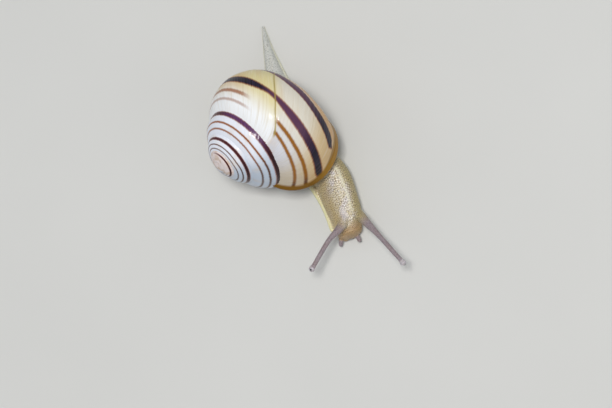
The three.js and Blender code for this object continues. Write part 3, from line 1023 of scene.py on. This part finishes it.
def shell_paint():
    """Cream to bluish white ground with five bands, crossed by growth lines."""
    paint = Paint("banded shell", SHELL_COLOURS)
    coil_map = paint.add("ShaderNodeUVMap", {"uv_map": "coil"})
    growth_map = paint.add("ShaderNodeUVMap", {"uv_map": "growth"})
    age, around, _ = paint.parts(coil_map)
    grown, offset, _ = paint.parts(growth_map)

    def since(low, high):
        return paint.above(age, low, high)

    def until(low, high):
        return paint.below(age, low, high)

    # Streaks along the growth lines, broad and fine, and cloudy stains.
    streak = paint.noise(paint.vector(grown * 3.2, around * 0.9), 1.0, 3.0)
    fine = paint.noise(paint.vector(grown * 9.0, around * 2.2, 3.1), 1.0)
    broad = paint.noise(paint.vector(grown * 0.35, around * 1.3, 7.7), 1.0)
    mottle = paint.above(paint.noise(paint.place(), 900.0), 0.45, 0.6)

    # Regions: shell older than a whorl, its underside, where shade is painted, shell newer
    # than the rest line, the part by the seam, and the worn first whorls.
    older = until(*OLDER)
    # painted shade: the stretch of each older whorl at the model's lower side is made blue-grey,
    # and its bands darker there
    shaded_underside = paint.above(paint.sine((age + UNDERSIDE) * (2 * math.pi)), 0.4, 0.95) * older
    newer = since(REST_LINE, REST_LINE + 0.02)
    upper = paint.above(around + broad * 0.3, 0.25, 0.95)
    worn = until(*WORN)

    cream = paint.lay(
        "cream",
        ("yellow", since(-0.42, -0.34)),
        ("pale cream", since(-0.29, -0.24)),
        ("tan cream", since(-0.18, -0.09)),
        ("tan", paint.above(age + broad * 0.03, -0.08, -0.02)),
    )
    white = paint.lay(
        "white",
        ("new white", newer),
        ("sand", since(-0.21, -0.07) * 0.85),
    )
    lined = 1 - older * 0.7
    ground = paint.lay(
        cream,
        (white, upper),
        ("bluish white", older),
        ("painted shade, blue", shaded_underside * 0.7),
        ("dull streak", paint.above(streak, 0.5, 0.75) * lined * 0.45),
        ("bright streak", paint.above(fine, 0.52, 0.72) * lined * 0.25),
        ("stain", paint.above(broad, 0.52, 0.8) * 0.35),
    )

    def band(centre, half, soft, ragged):
        """Share of a band, from its middle and half width, with ragged edges."""
        place = abs(around - centre + (fine - 0.5) * ragged + (streak - 0.5) * ragged) - half
        return paint.below(place, -soft, soft)

    # The two upper bands are thin and tan, and are missing just before the rest line.
    shown = 1 - since(-0.4, -0.35) * until(REST_LINE + 0.004, REST_LINE + 0.012)
    tan = paint.lay(
        "tan band",
        ("tan band, new", newer),
        ("tan band, older", older),
        ("tan band, early", until(-2.1, -1.7)),
        ("tan band, last", since(-0.07, -0.02)),
        ("tan band, painted shade", shaded_underside * 0.85),
    )
    first = age * -0.26 + 0.655 + newer * (age * 0.23 + 0.02) - shaded_underside * 0.07
    second = age * -0.25 + 0.42 - paint.exp(age * 5.0) * 0.04 - shaded_underside * 0.07
    first = band(first, 0.034 + newer * 0.008, 0.026, 0.03)
    second = band(second, 0.046 - older * 0.01, 0.026, 0.03)
    ground = paint.lay(
        ground,
        (tan, first * (0.6 + newer * 0.37 + older * 0.33) * shown),
        (tan, second * (0.85 + newer * 0.13 + older * 0.13) * shown),
        (paint.lay("worn", ("worn spots", mottle * 0.8)), worn),
    )

    # Three broad dark bands with rusty edges. The first is pinched at the rest line.
    pinch = (age - REST_LINE + 0.018) * 20.0
    pinch = paint.exp(pinch * pinch * -1)
    taper = since(-0.05, -0.008) * 0.6
    third = age * -0.25 + 0.05 - pinch * 0.045 - taper * 0.06 + older * 0.025
    fourth = paint.exp(age * 7.0) * 0.32 - 0.74
    fifth = age * 0.1 - 1.5
    paths = (
        (third, 0.098 - pinch * 0.05 - taper * 0.06 - older * 0.022),
        (fourth, 0.135 - since(-0.065, -0.036) * 0.16),
        (fifth, 0.2 - taper * 0.25),
    )
    below_fourth = paint.below(around - fourth, -0.24, -0.12)
    ground = paint.lay(ground, ("base", below_fourth * (0.85 - older * 0.5)))
    violet = paint.above(fine + streak * 0.5, 0.62, 0.95)
    rested = since(-0.33, -0.28) * until(-0.2, -0.1)
    # painted sheen: the older dark band made lighter and violet where a highlight falls on it
    painted_sheen = since(-1.46, -1.38) * until(-1.26, -1.18)
    core = paint.lay(
        "dark",
        ("dark, streaks", violet * 0.4),
        ("dark, new", rested * 0.75),
        ("dark, older", older * 0.8),
        ("dark, painted shade", shaded_underside * 0.7),
        ("dark, painted sheen", painted_sheen * (0.5 + violet * 0.4)),
    )
    kept = since(-3.55, -3.3)
    for centre, half in paths:
        fringe = band(centre, half + 0.018, 0.022, 0.035)
        dark = band(centre, half - 0.008, 0.022, 0.035)
        ground = paint.lay(ground, ("rust", fringe * kept * 0.85), (core, dark * kept))

    # The rest line, wider by the seam, the ochre lip and the inside.
    inner = paint.above(around, 0.3, 0.8)
    rest = abs(age - REST_LINE - inner * 0.014) - inner * 0.002
    rest = paint.below(rest, 0.001, 0.004) * paint.below(around, 0.72, 0.84)
    early = paint.below(around, -0.6, 0.0) * 0.014
    lip = paint.above(age + early + (broad - 0.5) * 0.012, -0.03, -0.02)
    inside = paint.below(offset, -0.5, -0.3) * since(-0.2, -0.15)
    ground = paint.lay(
        ground,
        ("rest line", rest * 0.8),
        (paint.lay("lip", ("lip above", paint.above(around, -0.3, 0.35))), lip),
        ("lip streak", lip * paint.above(streak, 0.45, 0.8) * 0.6),
        ("inside", inside * 0.7),
    )

    ribs = paint.sine(grown * (2 * math.pi / FINE_RIBS) + broad * 5.0)
    height = (ribs * 0.35 + fine * 0.9 + streak * 0.8) * (1 - older * 0.6)
    return paint.finish(
        base_color=ground,
        roughness=0.24 + streak * 0.12 + worn * 0.15,
        normal=paint.bump(height, 0.000012),
        coat_weight=0.17 + older * 0.13 - worn * 0.2,
        coat_roughness=0.07,
        specular_ior_level=0.1,
    )


def skin_paint():
    """Moist grey-beige skin: pale tubercles over darker grooves, partly painted highlight and
    shade.
    """
    paint = Paint("snail skin", SKIN_COLOURS)
    place = paint.place()
    names = ("tubercle", "shade", "feeler", "root", "bulb", "fringe", "pale_line", "face",
             "mouth", "tail", "across")
    (tubercle, shade, feeler, root, bulb, fringe, pale_line, face,
     mouth, tail, across) = (paint.attribute(name) for name in names)
    mottle = paint.noise(place, 420.0, 3.0)
    grain = paint.noise(place, 5200.0)
    granule = paint.below(paint.speck(place, 6600.0), 0.3, 0.8)

    # Beads on the neck and sides, granules on the tail and the feelers.
    finer = paint.math("MAXIMUM", tail * 0.9, feeler)
    bead = tubercle * (1 - finer) + granule * finer
    left = paint.above(across, 0.2, 0.8) * (1 - tail)
    # The right side is ochre, with darker crests: partly the skin's own tone, partly a painted
    # shadow of the shell.
    right = paint.below(across, -0.8, -0.25) * (1 - tail) * (1 - face)
    # Grooves darker and crests lighter: partly the skin's own tone, partly painted shade in the
    # grooves and a painted highlight on the crests.
    groove = paint.lay(
        "groove",
        ("groove, left", left),
        ("groove, right, ochre and shadow", right),
        ("groove, tail", tail),
        ("groove, face", face),
        ("groove, feeler", feeler),
    )
    crest = paint.lay(
        "crest",
        ("crest, darker", shade * 0.8),
        ("crest, lilac", paint.below(mottle, 0.4, 0.5) * 0.6),
        ("crest, left", left * 0.85),
        ("crest, right, ochre and shadow", right * 0.75),
        ("crest, tail", tail * 0.9),
        ("crest, face", face * 0.85),
        ("crest, feeler", feeler),
    )
    skin = paint.lay(
        groove,
        (crest, paint.above(bead, 0.0, 0.55)),
        # the patch at the right feeler's root: its own bluish tint, made lighter as a painted
        # highlight
        ("root tint and highlight", root * 0.55),
        ("mouth", mouth * 0.8),
        ("pale grains", feeler * paint.above(grain, 0.56, 0.66) * 0.25),
        ("brown spots", feeler * paint.below(mottle, 0.36, 0.5) * 0.2),
        ("pale line", pale_line * 0.45),
        ("fringe", fringe * (0.85 - tail * 0.5)),
        ("bulb", bulb * 0.75),
    )
    return paint.finish(
        base_color=skin,
        roughness=0.34 + mottle * 0.2,
        normal=paint.bump(bead * finer + grain * 0.4, 0.000022),
        coat_weight=0.4,
        coat_roughness=0.14,
        subsurface_weight=0.12,
        subsurface_radius=(0.0009, 0.0006, 0.0004),
        subsurface_scale=0.6,
    )


def eye_paint():
    paint = Paint("eye", EYE_COLOURS)
    cloud = paint.noise(paint.place(), 4000.0)
    return paint.finish(
        base_color=paint.lay("black", ("clouded", paint.above(cloud, 0.4, 0.75))),
        roughness=0.12 + cloud * 0.08,
        coat_weight=0.6,
        coat_roughness=0.03,
    )


def floor_paint():
    paint = Paint("pale floor", FLOOR_COLOURS)
    cloud = paint.noise(paint.place(), 30.0, 3.0)
    return paint.finish(base_color=paint.lay("darker", ("lighter", cloud)), roughness=0.75)


# ---------- floor and light
def in_frame(point):
    """A point given in millimetres from under the apex, in the frame's metres."""
    return (Vector(point) + APEX_PLACE) * MM


def aimed(direction, up=(0, 0, 1)):
    """A turn that points -Z along a direction."""
    back = -Vector(direction).normalized()
    right = Vector(up).cross(back).normalized()
    return Matrix((right, back.cross(right), back)).transposed().to_4x4()


def set_stage():
    bpy.ops.mesh.primitive_plane_add(size=FLOOR_SIZE)
    floor = bpy.context.object
    floor.name = "floor"
    floor.data.materials.append(floor_paint())


def add_object(name, data, turn, spot):
    holder = bpy.data.objects.new(name, data)
    bpy.context.scene.collection.objects.link(holder)
    holder.matrix_world = Matrix.Translation(spot) @ turn
    return holder


def add_light(name, direction, distance, size, power, colour):
    """A soft square light seen in a direction from the shell."""
    lamp = bpy.data.lights.new(name, "AREA")
    lamp.size, lamp.energy, lamp.color = size, power, colour
    way = Vector(direction).normalized()
    add_object(name, lamp, aimed(-way), in_frame(LIT_POINT) + way * distance)


def set_lights():
    for name, light in LIGHTS.items():
        add_light(name, *light)
    world = bpy.data.worlds.new("studio")
    world.use_nodes = True
    backdrop = world.node_tree.nodes["Background"]
    backdrop.inputs["Color"].default_value = SKY_COLOUR
    backdrop.inputs["Strength"].default_value = SKY_STRENGTH
    bpy.context.scene.world = world
    bpy.context.scene.view_settings.view_transform = "Standard"


def set_camera():
    lens = bpy.data.cameras.new("camera")
    lens.sensor_width, lens.lens = 36.0, CAMERA_LENS
    lens.clip_start, lens.clip_end = 0.01, 10.0
    turn = aimed(CAMERA_WAY, CAMERA_UP)
    bpy.context.scene.camera = add_object("camera", lens, turn, in_frame(CAMERA_PLACE))


# ---------- scene
set_stage()
set_lights()
set_camera()

shell = make_shell()
map_shell(shell)
only(shell)
bpy.ops.object.shade_smooth_by_angle(angle=math.radians(40))
shell.name = "banded_shell"
finish(place(shell), ["shell"], shell_paint())

skin = make_skin()
only(skin)
bpy.ops.object.shade_smooth()
skin.name = "body_skin"
sides = ("right", "left")
flesh_nodes = ["head", "neck", "foot_middle", "tail", "mantle_collar"]
flesh_nodes += [f"tentacle_{part}_{side}" for part in ("upper", "bulb", "lower") for side in sides]
finish(place(skin), flesh_nodes, skin_paint())

dark = eye_paint()
for side, look in EYE_LOOK.items():
    finish(place(make_eye(f"eye_{side}", look)), [f"eye_{side}"], dark)
